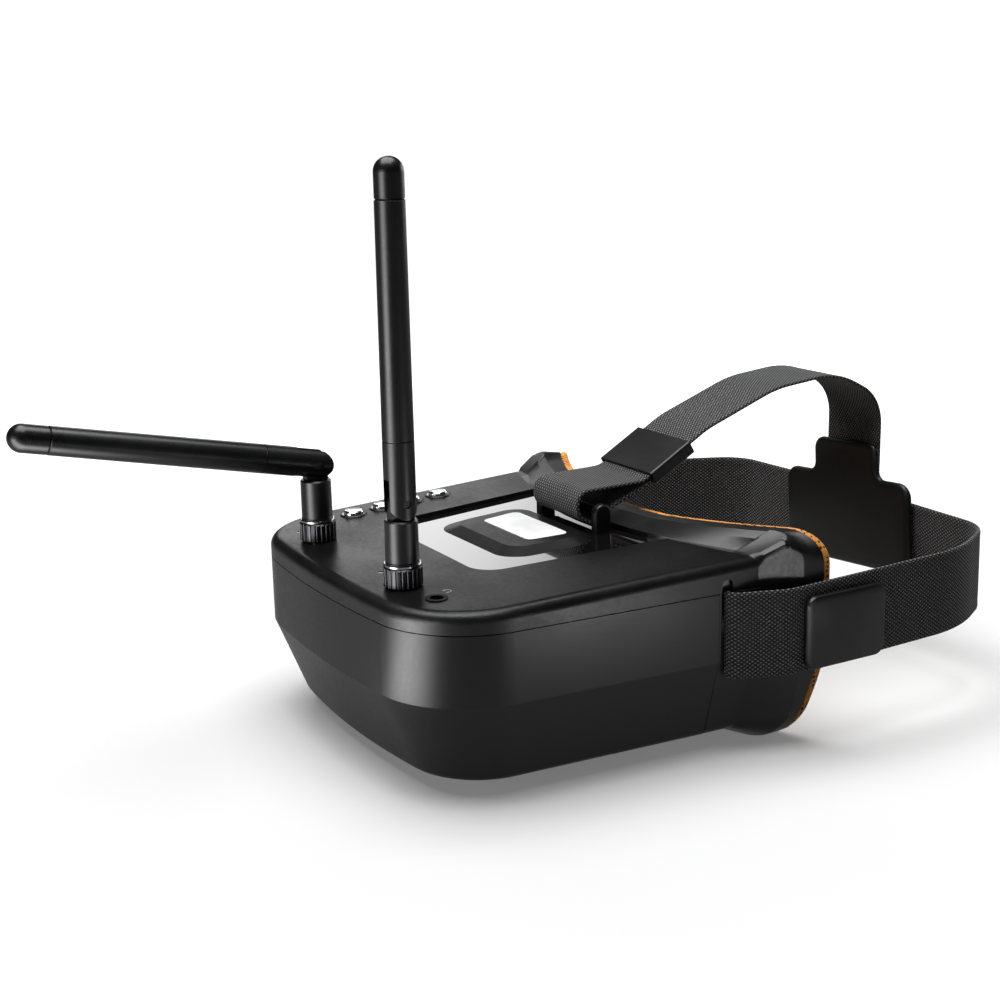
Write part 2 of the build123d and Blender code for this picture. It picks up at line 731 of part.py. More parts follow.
# ---- harness ---------------------------------------------------------------------------------
with BuildPart() as strap_bracket:
    for side in (-1, 1):
        with BuildSketch(Plane.YZ.offset(side * LUG_X - LUG_T / 2)):
            with Locations((BAR_Y, (LUG_FOOT_Z + BAR_Z) / 2)):
                Rectangle(LUG_W, BAR_Z - LUG_FOOT_Z)
            with Locations((BAR_Y, BAR_Z)):
                Circle(LUG_W / 2)
        extrude(amount=LUG_T)
    fillet(strap_bracket.edges().filter_by(GeomType.CIRCLE), 0.8)
    with BuildSketch(Plane.YZ.offset(-LUG_X)):
        with Locations((BAR_Y, BAR_Z)):
            Circle(BAR_R)
    extrude(amount=2 * LUG_X)
save(strap_bracket, "strap_bracket")

ANCHOR_X = 55.8
with BuildPart() as strap_anchors:
    for side in (-1, 1):
        with BuildSketch(Plane.XY.offset(SLOT_Z[0] - 1)):
            with Locations((side * ANCHOR_X, SLOT_MID_Y)):
                Circle(1.5)
        extrude(amount=SLOT_Z[1] - SLOT_Z[0] + 2)
save(strap_anchors, "strap_anchors")

SIDE_ROUTE = [(64.0, 55.9), (70.0, 70.0), (69.2, 133.0), (57.0, 154.2)]
SIDE_RADII = [3.0, 16.0, 40.0, 14.0]
BACK_Y = 156.6
tilted_base = Plane(
    origin=(0, SLOT_MID_Y, STRAP_Z),
    x_dir=(1, 0, 0),
    z_dir=(0, -math.sin(math.radians(STRAP_TILT)), math.cos(math.radians(STRAP_TILT))),
)
route = [(ANCHOR_X + 1.7, SLOT_MID_Y)] + SIDE_ROUTE
route = [(x, y - SLOT_MID_Y) for x, y in route] + [(0, BACK_Y - SLOT_MID_Y)]
route = route + [(-x, y) for x, y in reversed(route[:-1])]
radii = SIDE_RADII + [400.0] + SIDE_RADII[::-1]
with BuildPart() as head_strap:
    with BuildSketch(tilted_base):
        with BuildLine() as strap_line:
            FilletPolyline(*route, radius=radii)
        trace(line_width=WEB_T)
    extrude(amount=WEB_W)
save(head_strap, "head_strap")

PLATE_FROM = 73.6
PLATE_TO = 100.9
PLATE_H = 20.4
PLATE_RISE = 11.4          # middle of the plates above the strap's lower edge
with BuildPart() as strap_plates:
    for side in (-1, 1):
        plate_x = side * (70.1 + WEB_T / 2)
        plate_y = (PLATE_FROM + PLATE_TO) / 2
        plate_spot = (plate_x, plate_y, STRAP_Z + PLATE_RISE)
        with BuildSketch(Plane(plate_spot, x_dir=(0, 1, 0), z_dir=(side, 0, 0))):
            RectangleRounded(PLATE_TO - PLATE_FROM, PLATE_H, 3.0)
        extrude(amount=2.2)
save(strap_plates, "strap_plates")

slope = math.atan2(SLIDER_TO[1] - SLIDER_FROM[1], SLIDER_TO[0] - SLIDER_FROM[0])
along = (math.cos(slope), math.sin(slope))
across = (-math.sin(slope), math.cos(slope))
LAYER = 0.65               # centre of each webbing layer off the slider's axis


def slider_point(distance, off):
    """Point in the Y-Z plane, distance along the slider from its front and off its axis."""
    return (
        SLIDER_FROM[0] + along[0] * distance + across[0] * off,
        SLIDER_FROM[1] + along[1] * distance + across[1] * off,
    )


slider_length = math.dist(SLIDER_FROM, SLIDER_TO)
top_route = [
    slider_point(slider_length + 3.0, -LAYER),
    slider_point(-3.0, -LAYER),
    (51.8, 54.6),
    (47.9, 50.2),
    (41.0, 53.4),
    (41.0, 60.6),
    slider_point(-2.4, LAYER),
    slider_point(slider_length + 8.0, LAYER),
    (112.0, 83.0),
    (136.0, 85.2),
    (154.2, 75.5),
    (154.3, 42.0),
]
top_radii = [20.0, 10.0, 2.2, 4.0, 3.6, 8.0, 30.0, 40.0, 30.0, 14.0]
with BuildPart() as top_strap:
    with BuildSketch(Plane.YZ.offset(-WEB_W / 2)):
        with BuildLine() as top_line:
            FilletPolyline(*top_route, radius=top_radii)
        trace(line_width=WEB_T - 0.1)
    extrude(amount=WEB_W)
save(top_strap, "top_strap")

slider_plane = Plane(
    origin=(0, SLIDER_FROM[0], SLIDER_FROM[1]), x_dir=(1, 0, 0), z_dir=(0, along[0], along[1])
)
with BuildPart() as top_slider:
    with BuildSketch(slider_plane):
        RectangleRounded(WEB_W + 2.6, 4.1, 0.8)
        RectangleRounded(WEB_W + 0.6, 2.9, 0.3, mode=Mode.SUBTRACT)
    extrude(amount=slider_length)
save(top_slider, "top_slider")

PAD_Y = 153.7
PAD_T = 2.4
PAD_TILT = 4.0             # degrees that the pad leans in its own plane
PAD_HALF = [(14.5, 60.0, 4.0), (14.5, 48.6, 3.0), (28.5, 48.6, 4.5), (28.5, 19.5, 4.0)]
with BuildPart() as back_pad:
    with BuildSketch(section_plane(PAD_Y)):
        add(section(PAD_HALF, 0, PAD_Y).rotate(Axis((0, PAD_Y, 36.0), (0, -1, 0)), PAD_TILT))
    extrude(amount=PAD_T)
    fillet(back_pad.faces().sort_by(Axis.Y)[0].edges(), 0.9)
save(back_pad, "back_pad")
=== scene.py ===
import bmesh
import bpy
import json
import math
from mathutils import Matrix, Vector


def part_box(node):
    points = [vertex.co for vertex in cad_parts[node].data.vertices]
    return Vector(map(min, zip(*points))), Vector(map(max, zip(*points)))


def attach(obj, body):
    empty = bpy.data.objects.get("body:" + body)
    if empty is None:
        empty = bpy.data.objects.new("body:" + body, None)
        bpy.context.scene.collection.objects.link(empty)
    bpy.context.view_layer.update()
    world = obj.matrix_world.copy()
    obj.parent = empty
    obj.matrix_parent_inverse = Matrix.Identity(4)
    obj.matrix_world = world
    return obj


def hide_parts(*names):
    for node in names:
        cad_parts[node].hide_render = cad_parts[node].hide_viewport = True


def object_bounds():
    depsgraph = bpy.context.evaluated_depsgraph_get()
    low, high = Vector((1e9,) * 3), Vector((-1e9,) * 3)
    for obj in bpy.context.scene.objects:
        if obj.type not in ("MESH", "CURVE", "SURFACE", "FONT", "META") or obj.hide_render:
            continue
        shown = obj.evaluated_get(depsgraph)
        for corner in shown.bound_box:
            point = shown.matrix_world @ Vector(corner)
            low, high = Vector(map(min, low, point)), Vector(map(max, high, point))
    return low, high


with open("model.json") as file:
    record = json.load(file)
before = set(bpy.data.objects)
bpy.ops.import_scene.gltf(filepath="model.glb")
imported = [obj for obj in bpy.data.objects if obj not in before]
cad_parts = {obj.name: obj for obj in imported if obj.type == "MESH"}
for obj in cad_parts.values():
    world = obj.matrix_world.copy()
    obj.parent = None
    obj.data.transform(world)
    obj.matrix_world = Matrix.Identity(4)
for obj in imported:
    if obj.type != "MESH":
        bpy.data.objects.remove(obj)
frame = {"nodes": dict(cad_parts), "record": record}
cad_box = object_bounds()

# Sizes below are millimetres about the housing: x 0 on the symmetry plane, z 0 on its underside,
# y rising from the front cover towards the face, as in the model's own source.
MM = 0.001
FRONT_Y = -34.6
shell_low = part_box("lower_shell")[0]
ORIGIN = Vector((0.0, shell_low[1] - FRONT_Y * MM, shell_low[2]))
FLOOR_Z = cad_box[0][2]


def at(x, y, z):
    """A point in the frame's metres from housing millimetres."""
    return Vector((x, y, z)) * MM + ORIGIN


# ---- camera ----------------------------------------------------------------------------------
CAMERA_AT = at(379.94, -195.77, 169.06)
CAMERA_AZIMUTH = math.radians(60.142)
CAMERA_PITCH = math.radians(14.122)
CAMERA_ROLL = math.radians(-1.167)


def make_camera():
    """The photograph's viewpoint."""
    back = Vector((
        math.sin(CAMERA_AZIMUTH) * math.cos(CAMERA_PITCH),
        -math.cos(CAMERA_AZIMUTH) * math.cos(CAMERA_PITCH),
        math.sin(CAMERA_PITCH),
    ))
    level_right = Vector((0, 0, 1)).cross(back).normalized()
    level_up = back.cross(level_right)
    right = level_right * math.cos(CAMERA_ROLL) + level_up * math.sin(CAMERA_ROLL)
    up = level_up * math.cos(CAMERA_ROLL) - level_right * math.sin(CAMERA_ROLL)
    data = bpy.data.cameras.new("camera")
    data.lens = 57.55
    data.sensor_width = 36.0
    data.clip_end = 20.0
    camera = bpy.data.objects.new("camera", data)
    turn = Matrix((right, up, back)).transposed().to_4x4()
    camera.matrix_world = Matrix.Translation(CAMERA_AT) @ turn
    bpy.context.scene.collection.objects.link(camera)
    bpy.context.scene.camera = camera


make_camera()


# ---- material nodes --------------------------------------------------------------------------
def new_material(name):
    """A material, its node tree and its Principled shader."""
    mat = bpy.data.materials.new(name)
    mat.use_nodes = True
    return mat, mat.node_tree, mat.node_tree.nodes["Principled BSDF"]


def add_node(tree, kind, inputs=None, **settings):
    """Adds a node, sets its properties, and sets or links its inputs."""
    node = tree.nodes.new(kind)
    for key, value in settings.items():
        setattr(node, key, value)
    for key, value in (inputs or {}).items():
        if isinstance(value, bpy.types.NodeSocket):
            tree.links.new(value, node.inputs[key])
        else:
            node.inputs[key].default_value = value
    return node


def maths(tree, operation, a, b=0.0):
    """Output of a Math node."""
    return add_node(tree, "ShaderNodeMath", {0: a, 1: b}, operation=operation).outputs[0]


def ramp(tree, value, low, high, to_low=0.0, to_high=1.0):
    """value mapped smoothly from low..high to to_low..to_high."""
    inputs = {"Value": value, "From Min": low, "From Max": high, "To Min": to_low, "To Max": to_high}
    return add_node(tree, "ShaderNodeMapRange", inputs, interpolation_type="SMOOTHSTEP").outputs[0]


def mix(tree, factor, a, b):
    """Colour a where factor is 0 and b where it is 1."""
    node = add_node(tree, "ShaderNodeMix", {"Factor": factor}, data_type="RGBA")
    for socket, value in ((node.inputs[6], a), (node.inputs[7], b)):
        if isinstance(value, bpy.types.NodeSocket):
            tree.links.new(value, socket)
        else:
            socket.default_value = (*value, 1.0)
    return node.outputs[2]


def place(tree):
    """Position on the object, in metres."""
    return add_node(tree, "ShaderNodeTexCoord").outputs["Object"]


def noise(tree, scale, detail=3.0):
    """Noise from 0 to 1 over the object's own coordinates."""
    inputs = {"Vector": place(tree), "Scale": scale, "Detail": detail, "Roughness": 0.5}
    return add_node(tree, "ShaderNodeTexNoise", inputs).outputs["Fac"]


def bump(tree, shader, height, strength, distance, under=None):
    """Bump from a height, on top of another bump's normal if given."""
    inputs = {"Height": height, "Strength": strength, "Distance": distance}
    if under:
        inputs["Normal"] = under
    normal = add_node(tree, "ShaderNodeBump", inputs).outputs["Normal"]
    tree.links.new(normal, shader.inputs["Normal"])
    return normal


def scaled(colour, factor):
    """A colour made lighter or darker."""
    return tuple(min(1.0, c * factor) for c in colour)


def moulded(name, colour, rough, spread=0.07, grain=2600.0, depth=0.12, coat=0.0, specular=0.5):
    """Moulded plastic with a fine spark-eroded grain and slightly uneven sheen."""
    mat, tree, shader = new_material(name)
    clouds = noise(tree, 45.0, 4.0)
    tint = mix(tree, ramp(tree, clouds, 0.3, 0.7), scaled(colour, 0.85), scaled(colour, 1.2))
    tree.links.new(tint, shader.inputs["Base Color"])
    speck = noise(tree, grain * 0.35, 2.0)
    uneven = maths(tree, "ADD", maths(tree, "MULTIPLY", clouds, 0.6), maths(tree, "MULTIPLY", speck, 0.4))
    tree.links.new(ramp(tree, uneven, 0.3, 0.7, rough - spread, rough + spread), shader.inputs["Roughness"])
    bump(tree, shader, noise(tree, grain, 2.0), depth, 0.00006)
    shader.inputs["Coat Weight"].default_value = coat
    shader.inputs["Coat Roughness"].default_value = 0.03
    shader.inputs["Specular IOR Level"].default_value = specular
    return mat


def metal(name, colour, rough, spread=0.05, brushed=0.0):
    """Plated or machined metal with fine turning marks."""
    mat, tree, shader = new_material(name)
    haze = noise(tree, 300.0, 4.0)
    tint = mix(tree, haze, scaled(colour, 0.88), scaled(colour, 1.08))
    tree.links.new(tint, shader.inputs["Base Color"])
    tree.links.new(ramp(tree, haze, 0.3, 0.7, rough - spread, rough + spread), shader.inputs["Roughness"])
    shader.inputs["Metallic"].default_value = 1.0
    stretch = add_node(tree, "ShaderNodeMapping", {"Vector": place(tree), "Scale": (200.0, 200.0, 6000.0)})
    marks = add_node(tree, "ShaderNodeTexNoise", {"Vector": stretch.outputs[0], "Scale": 1.0, "Detail": 2.0})
    bump(tree, shader, marks.outputs["Fac"], brushed, 0.00003)
    return mat


def clear(name, colour, rough):
    """Clear or smoked moulding with faint flow marks."""
    mat, tree, shader = new_material(name)
    flow = noise(tree, 90.0, 3.0)
    tree.links.new(mix(tree, flow, scaled(colour, 0.9), colour), shader.inputs["Base Color"])
    tree.links.new(ramp(tree, flow, 0.3, 0.7, rough, rough + 0.04), shader.inputs["Roughness"])
    shader.inputs["Transmission Weight"].default_value = 1.0
    shader.inputs["IOR"].default_value = 1.49
    return mat


def webbing(name, dark, light):
    """Woven elastic: light pick dots in offset rows on a dark ground, ribbed selvedge."""
    mat, tree, shader = new_material(name)
    uv = add_node(tree, "ShaderNodeSeparateXYZ", {"Vector": add_node(tree, "ShaderNodeUVMap").outputs["UV"]})
    along = maths(tree, "MULTIPLY", uv.outputs["X"], 2 * math.pi / (WEAVE_ALONG * MM))
    across = maths(tree, "MULTIPLY", uv.outputs["Y"], 2 * math.pi / (WEAVE_ACROSS * MM))
    checks = maths(tree, "MULTIPLY", maths(tree, "COSINE", along), maths(tree, "COSINE", across))
    fuzz = noise(tree, 900.0, 3.0)
    dots = ramp(tree, maths(tree, "ADD", checks, maths(tree, "MULTIPLY", fuzz, 0.35)), 0.35, 0.85)
    patches = noise(tree, 60.0, 3.0)
    ground = mix(tree, patches, scaled(dark, 0.8), scaled(dark, 1.3))
    pick = mix(tree, patches, scaled(light, 0.75), light)
    tree.links.new(mix(tree, dots, ground, pick), shader.inputs["Base Color"])
    tree.links.new(ramp(tree, dots, 0.0, 1.0, 0.85, 0.6), shader.inputs["Roughness"])
    woven = bump(tree, shader, checks, 0.5, 0.00015)
    bump(tree, shader, noise(tree, 5000.0, 2.0), 0.25, 0.00008, woven)
    shader.inputs["Sheen Weight"].default_value = 0.15
    shader.inputs["Sheen Roughness"].default_value = 0.5
    return mat


def perforated_foam(name, colour):
    """Closed-cell foam with rows of fine punched holes, each painted near-black as painted shade inside the
    hole.
    """
    mat, tree, shader = new_material(name)
    inputs = {"Vector": place(tree), "Scale": 1000.0 / FOAM_PITCH, "Randomness": 0.25}
    cells = add_node(tree, "ShaderNodeTexVoronoi", inputs).outputs["Distance"]
    painted_hole_shade = ramp(tree, cells, 0.28, 0.36, 1.0, 0.0)
    patches = noise(tree, 120.0, 4.0)
    skin = mix(tree, patches, scaled(colour, 0.82), scaled(colour, 1.1))
    # Painted shade: the near-black colour in each hole stands in for the shade inside it.
    tree.links.new(mix(tree, painted_hole_shade, skin, (0.03, 0.012, 0.004)), shader.inputs["Base Color"])
    shader.inputs["Roughness"].default_value = 0.75
    pits = bump(tree, shader, ramp(tree, cells, 0.25, 0.42), 0.7, 0.0004)
    bump(tree, shader, noise(tree, 2500.0, 3.0), 0.3, 0.0001, pits)
    shader.inputs["Subsurface Weight"].default_value = 0.05
    return mat


def circuit_board(name, colour):
    """Solder mask with faint copper tracks under it."""
    mat, tree, shader = new_material(name)
    inputs = {"Vector": place(tree), "Scale": 260.0, "Randomness": 0.9}
    cells = add_node(tree, "ShaderNodeTexVoronoi", inputs, distance="MANHATTAN").outputs["Distance"]
    track = ramp(tree, cells, 0.4, 0.45)
    tree.links.new(mix(tree, track, colour, scaled(colour, 1.8)), shader.inputs["Base Color"])
    shader.inputs["Roughness"].default_value = 0.35
    bump(tree, shader, track, 0.2, 0.00005)
    return mat


# ---- finish of each material slot ------------------------------------------------------------
WEAVE_ALONG = 1.5
WEAVE_ACROSS = 1.1
FOAM_PITCH = 1.3
BLACK = (0.0048, 0.0048, 0.0052)

finishes = {
    "satin_black": moulded("satin_black", BLACK, 0.33, 0.05),
    "orange_foam": perforated_foam("orange_foam", (1.0, 0.37, 0.06)),
    "label_white": moulded("label_white", (0.85, 0.85, 0.85), 0.5, 0.03, 2000.0, 0.02, specular=0.2),
    "button_chrome": metal("button_chrome", (0.80, 0.81, 0.83), 0.10, 0.02),
    "ring_black": moulded("ring_black", (0.012, 0.012, 0.013), 0.14, 0.04, 3000.0, 0.03, 0.5),
    "webbing": webbing("webbing", (0.003, 0.003, 0.0033), (0.28, 0.28, 0.285)),
    "pad_black": moulded("pad_black", (0.005, 0.005, 0.005), 0.42, 0.06, 1500.0, 0.12),
    "hardware_black": moulded("hardware_black", (0.006, 0.006, 0.0065), 0.34, 0.05, 2200.0, 0.10),
    "steel": metal("steel", (0.5, 0.51, 0.52), 0.3, 0.06, 0.3),
    "board_green": circuit_board("board_green", (0.01, 0.09, 0.03)),
    "shield_tin": metal("shield_tin", (0.6, 0.6, 0.59), 0.35, 0.08, 0.2),
    "switch_black": moulded("switch_black", (0.02, 0.02, 0.02), 0.5),
    "light_clear": clear("light_clear", (0.75, 0.78, 0.8), 0.12),
    "jack_black": moulded("jack_black", (0.004, 0.004, 0.004), 0.6, specular=0.15),
    "display_glass": moulded("display_glass", (0.01, 0.01, 0.016), 0.1, 0.03, 2000.0, 0.02, 1.0),
    "inner_black": moulded("inner_black", (0.012, 0.012, 0.012), 0.65),
    "lens_clear": clear("lens_clear", (0.95, 0.97, 0.98), 0.02),
    "battery_wrap": moulded("battery_wrap", (0.02, 0.06, 0.25), 0.3, 0.05, 900.0, 0.1, 0.5),
    "nut_black_chrome": metal("nut_black_chrome", (0.055, 0.055, 0.058), 0.3, 0.05, 0.2),
    "connector_brass": metal("connector_brass", (0.72, 0.52, 0.2), 0.25, 0.05, 0.2),
    "antenna_black": moulded("antenna_black", (0.006, 0.006, 0.0065), 0.32, 0.05, 2400.0, 0.08),
    "element_copper": metal("element_copper", (0.72, 0.35, 0.2), 0.28, 0.06, 0.3),
}


def moulded_lid():
    """The lid's plastic: matt on its top face, satin on its skirt."""
    mat = moulded("lid_black", scaled(BLACK, 1.2), 0.36)
    tree = mat.node_tree
    facing = add_node(tree, "ShaderNodeNewGeometry").outputs["Normal"]
    upward = add_node(tree, "ShaderNodeSeparateXYZ", {"Vector": facing}).outputs["Z"]
    specular = ramp(tree, upward, 0.7, 0.97, 0.55, 0.18)
    tree.links.new(specular, tree.nodes["Principled BSDF"].inputs["Specular IOR Level"])
    return mat


lid_finish = moulded_lid()
mirror_black = moulded("mirror_black", (0.006, 0.006, 0.0065), 0.05, 0.02, 900.0, 0.01, coat=1.0)
polished_ring = metal("polished_ring", (0.35, 0.35, 0.36), 0.12, 0.03, 0.1)
mark_print = moulded("mark_print", (0.30, 0.30, 0.30), 0.5)

blackened = metal("blackened_pin", (0.03, 0.03, 0.032), 0.35)
own_finishes = {
    "upper_shell": lid_finish,
    "left_antenna_pin": blackened,
    "right_antenna_pin": blackened,
}

for entry in frame["record"]["subparts"]:
    cad_object = frame["nodes"][entry["node"]]
    finish = own_finishes.get(entry["node"], finishes[entry["material_slot"]])
    if not cad_object.material_slots:
        cad_object.data.materials.append(finish)
    for material_slot in cad_object.material_slots:
        material_slot.material = finish


# ---- mesh building ---------------------------------------------------------------------------
def mesh_object(name, vertices, faces, finish, sharp=0.6):
    """A smooth-shaded piece from vertices in housing millimetres."""
    data = bpy.data.meshes.new(name)
    data.from_pydata([at(*v) for v in vertices], [], faces)
    cleaner = bmesh.new()
    cleaner.from_mesh(data)
    bmesh.ops.recalc_face_normals(cleaner, faces=cleaner.faces)
    cleaner.to_mesh(data)
    cleaner.free()
    data.shade_smooth()
    data.set_sharp_from_angle(angle=sharp)
    piece = bpy.data.objects.new(name, data)
    bpy.context.scene.collection.objects.link(piece)
    data.materials.append(finish)
    return piece


def dress(piece, body, slot, *nodes):
    """Rides a piece on its body and hides the CAD nodes that it stands for; slot is not used."""
    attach(piece, body)
    if nodes:
        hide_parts(*nodes)


def rounded(corners, closed=False, per_arc=8, per_run=5):
    """Points along a polyline of (a, b, radius) whose corners are turned into arcs."""
    count = len(corners)
    points = []
    for i, (a, b, radius) in enumerate(corners):
        corner = Vector((a, b))
        if not closed and i in (0, count - 1):
            ends = [corner]
        else:
            to_last = Vector(corners[i - 1][:2]) - corner
            to_next = Vector(corners[(i + 1) % count][:2]) - corner
            half = to_last.angle(to_next) / 2
            first, last = to_last.normalized(), to_next.normalized()
            if half > 1.55:
                ends = [corner + (first * (1 - s) + last * s) * 0.4 for s in steps(per_arc)]
            else:
                reach = radius / math.tan(half)
                middle = corner + (first + last).normalized() * radius / math.sin(half)
                start, end = corner + first * reach - middle, corner + last * reach - middle
                swing = start.angle(end)
                ends = [
                    middle + (start * math.sin((1 - s) * swing) + end * math.sin(s * swing)) / math.sin(swing)
                    for s in steps(per_arc)
                ]
        if points:
            run_from = points[-1]
            points += [run_from.lerp(ends[0], s) for s in steps(per_run)[1:-1]]
        points += ends
    if closed:
        points += [points[-1].lerp(points[0], s) for s in steps(per_run)[1:-1]]
    return points


def steps(count):
    """Evenly spaced values from 0 to 1, both included."""
    return [i / count for i in range(count + 1)]


def inset(corners, distance):
    """A closed outline of (a, b, radius) pulled inwards, wound clockwise."""
    count = len(corners)
    result = []
    for i, (a, b, radius) in enumerate(corners):
        corner = Vector((a, b))
        to_last = (Vector(corners[i - 1][:2]) - corner).normalized()
        to_next = (Vector(corners[(i + 1) % count][:2]) - corner).normalized()
        half = to_last.angle(to_next) / 2
        turn = to_last.x * to_next.y - to_last.y * to_next.x
        if half > 1.55:
            inward = Vector((to_last.y, -to_last.x))
            result.append((*(corner - inward * distance), radius))
        else:
            outer_turn = turn > 0
            shift = (to_last + to_next).normalized() * distance / math.sin(half)
            place_at = corner + shift if outer_turn else corner - shift
            result.append((*place_at, max(radius - distance, 0.4) if outer_turn else radius + distance))
    return result


def both_halves(half):
    """A closed symmetric outline from its right half."""
    return half + [(-x, z, r) for x, z, r in reversed(half)]


def ring_faces(rows, columns, closed_rows):
    """Quads between rows of points that each run all the way round."""
    faces = []
    for i in range(rows if closed_rows else rows - 1):
        below, above = i * columns, ((i + 1) % rows) * columns
        for j in range(columns):
            k = (j + 1) % columns
            faces.append((below + j, below + k, above + k, above + j))
    return faces


# ---- face shroud and foam --------------------------------------------------------------------
SEAM_Z = 41.9
SIDE_SEAM_Y = 52.58
CREASE_Y = 50.65
CREASE_BOW = 0.0037
BODY_HALF_WIDTH = 62.4
RIM_Y = 65.0
RIM_BOW = 0.0050
RIM_SIDE_Y = 88.8
RIM_ROLL = 0.0055
RIM_ROLL_Z = 40.0
RIM_BLEND = 1.2
FOAM_T = 2.6
FOAM_W = 11.0
BAND_FRONT_Y = 57.9
BAND_FRONT_BOW = 0.00434
LEAST_BAND = 4.0

# matching points: top, upper corner, lid seam, taper break, lower corner, nose foot, nose bridge
body_half = [(20.0, 50.2, 9.0), (62.4, 50.2, 3.0), (62.4, SEAM_Z, 1.0), (62.4, 22.8, 2.0),
             (56.2, 0.0, 3.0), (29.0, 0.0, 4.0), (12.0, 0.0, 4.0)]
rim_half = [(20.0, 52.7, 60.0), (66.5, 55.4, 9.0), (66.5, 40.0, 1.0), (66.5, 22.0, 17.0),
            (63.0, -4.5, 12.0), (27.0, -4.5, 8.0), (12.0, 21.0, 8.0)]
throat_half = [(20.0, 47.8, 9.0), (59.8, 47.8, 2.0), (59.8, SEAM_Z, 1.0), (59.8, 22.8, 9.0),
               (54.0, 2.4, 2.0), (33.0, 2.4, 4.0), (17.0, 26.7, 8.0)]


TOP_Z = 48.0
TOP_SLOPE = 0.035
TOP_CROWN = 1.1
CROWN_HALF = 58.0
FRONT_HALF = 56.8
SIDE_FLARE = 0.058


def top_height(x, y):
    """Height of the lid's crowned, sloping face."""
    return TOP_Z + TOP_SLOPE * y + TOP_CROWN * (1 - (x / CROWN_HALF) ** 2)


def half_width(y):
    """Half width of the housing, which widens towards the face."""
    return FRONT_HALF + SIDE_FLARE * (y - FRONT_Y)


def rim_y(x, z):
    """Face side of the foam: bowed round the head, rolled forward above and below the temples."""
    bow = RIM_Y + RIM_BOW * x * x
    roll = RIM_SIDE_Y - RIM_ROLL * (z - RIM_ROLL_Z) ** 2
    return -math.log(math.exp(-RIM_BLEND * bow) + math.exp(-RIM_BLEND * roll)) / RIM_BLEND


def crease_y(x):
    """Where the flare begins."""
    return CREASE_Y + CREASE_BOW * x * x


RIM_CORNER = Vector((66.5, 55.4))
RIM_CORNER_R = 9.0
BODY_CORNER = Vector((62.4, 50.2))
RIDGE_R = 1.0
BAND_CORNER_R = 6.5
BODY_CORNER_R = 3.0
ARC_STEPS = 20
FLARE_STEPS = 44
RULED_X = 20.0
RULED_RIM_Z = 40.0


def square_corner(p):
    """A point of the rim's rounded upper corner pushed out onto the corner's straight sides."""
    centre = RIM_CORNER - Vector((RIM_CORNER_R, RIM_CORNER_R))
    reach = p - centre
    return centre + reach * (RIM_CORNER_R / max(reach)) if min(reach) > 0 else p


def round_off(p, corner, radius):
    """A point held inside the arc of an upper corner."""
    centre = corner - Vector((radius, radius))
    reach = p - centre
    return centre + reach.normalized() * radius if min(reach) > 0 and reach.length > radius else p


def flare_point(r, s):
    """Point on the upper flare, s of the way to rim point r: two facets that meet in a ridge."""
    target = square_corner(r)
    width = (BODY_CORNER.x - RULED_X) / (RIM_CORNER.x - RULED_X)
    height = (BODY_CORNER.y - SEAM_Z) / (RIM_CORNER.y - RULED_RIM_Z)
    on_top = target.y - RULED_RIM_Z > (target.x - RULED_X) * 0.2 and target.x < RIM_CORNER.x - 0.01
    from_x = BODY_CORNER.x - (RIM_CORNER.x - target.x) * width
    from_z = BODY_CORNER.y if on_top else BODY_CORNER.y - (RIM_CORNER.y - target.y) * height
    point = Vector((from_x, from_z)).lerp(target, s)
    point = round_off(point, BODY_CORNER.lerp(RIM_CORNER, s), max(RIDGE_R, BODY_CORNER_R - 12.0 * s))
    return round_off(point, RIM_CORNER, BAND_CORNER_R)


def shroud_rows():
    """Rows of points round the shroud, from its seam with the housing over the rim and back inside."""
    body = rounded(both_halves(body_half), closed=True, per_arc=ARC_STEPS)
    rim = rounded(both_halves(rim_half), closed=True, per_arc=ARC_STEPS)
    throat = rounded(both_halves(throat_half), closed=True, per_arc=ARC_STEPS)
    insets = [(0.0, 0.35), (0.25, 0.1), (0.7, 0.0), (FOAM_W, 0.0), (FOAM_W, 2.4)]
    edges = [
        rounded(inset(both_halves(rim_half), pull), closed=True, per_arc=ARC_STEPS) for pull, _ in insets
    ]
    columns = []
    for j, (b, r, t) in enumerate(zip(body, rim, throat)):
        lid_part = b.y > SEAM_Z
        start_y = crease_y(b.x) if lid_part else SIDE_SEAM_Y
        lift = max(0.0, min(1.0, (b.y - 47.2) / 3.0)) * (top_height(b.x, start_y) - 50.2)
        end_y = rim_y(r.x, r.y) - FOAM_T
        front_y = min(BAND_FRONT_Y + BAND_FRONT_BOW * r.x**2, end_y - LEAST_BAND)
        flare_from = min(crease_y(b.x), front_y - 2.0)
        column = [(t.x, SIDE_SEAM_Y + 0.1, t.y)]
        for s in steps(FLARE_STEPS):
            y = start_y + (front_y - start_y) * s
            spread = max(0.0, (y - flare_from) / (front_y - flare_from))
            side_x = b.x * half_width(y) / BODY_HALF_WIDTH
            if lid_part and abs(r.x) > RULED_X:
                p = flare_point(Vector((abs(r.x), r.y)), spread)
                column.append((math.copysign(p.x, r.x), y, p.y + lift * (1 - spread)))
            else:
                column.append((side_x + (r.x - side_x) * spread, y, b.y + lift + (r.y - b.y - lift) * spread))
        band_x, _, band_z = column[-1]
        column.append((band_x, front_y + 0.5, band_z))
        column.append(((band_x + r.x) / 2, (front_y + end_y) / 2, (band_z + r.y) / 2))
        for (pull, drop), edge in zip(insets, edges):
            e = edge[j]
            column.append((e.x, rim_y(e.x, e.y) - FOAM_T - drop, e.y))
        column.append((t.x, SIDE_SEAM_Y + 2.4, t.y))
        columns.append(column)
    return list(zip(*columns))


def apply_modifiers(piece):
    """Replaces a piece's mesh with what its modifiers make of it."""
    graph = bpy.context.evaluated_depsgraph_get()
    made = bpy.data.meshes.new_from_object(piece.evaluated_get(graph))
    piece.modifiers.clear()
    piece.data = made


SLOT_Y = (53.4, 56.8)
SLOT_Z = (15.4, 45.4)


